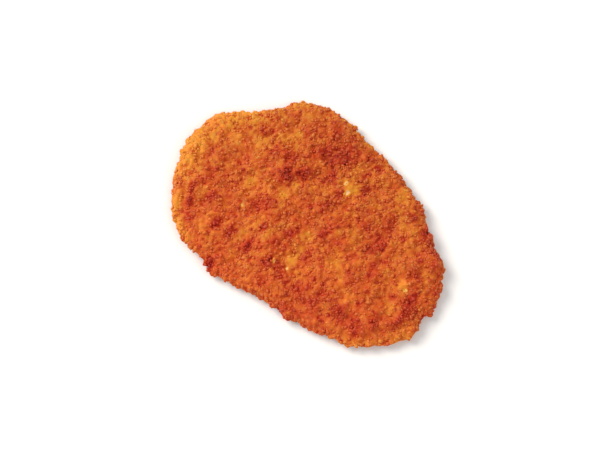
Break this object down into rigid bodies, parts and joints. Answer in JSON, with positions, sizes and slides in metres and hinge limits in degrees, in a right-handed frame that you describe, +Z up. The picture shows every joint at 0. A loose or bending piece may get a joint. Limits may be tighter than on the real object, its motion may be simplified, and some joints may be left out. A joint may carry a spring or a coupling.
{
  "type": "breaded schnitzel",
  "caption": "Flat oval cutlet in a craggy golden-brown breadcrumb crust, a food item that lies on its flat underside.",
  "frame": {"origin": "on the surface the cutlet lies on, under the middle of its box", "axes": "+X along the cutlet to its narrower end, +Y across it, +Z up out of the shown side"},
  "size_m": [0.19, 0.131, 0.013],
  "materials": {
    "fried_crumb": "fried breadcrumb crust, rough, orange brown with darker crumb clusters and paler bare spots"
  },
  "bodies": {
    "root": {"schnitzel": "fried_crumb"}
  },
  "joints": []
}
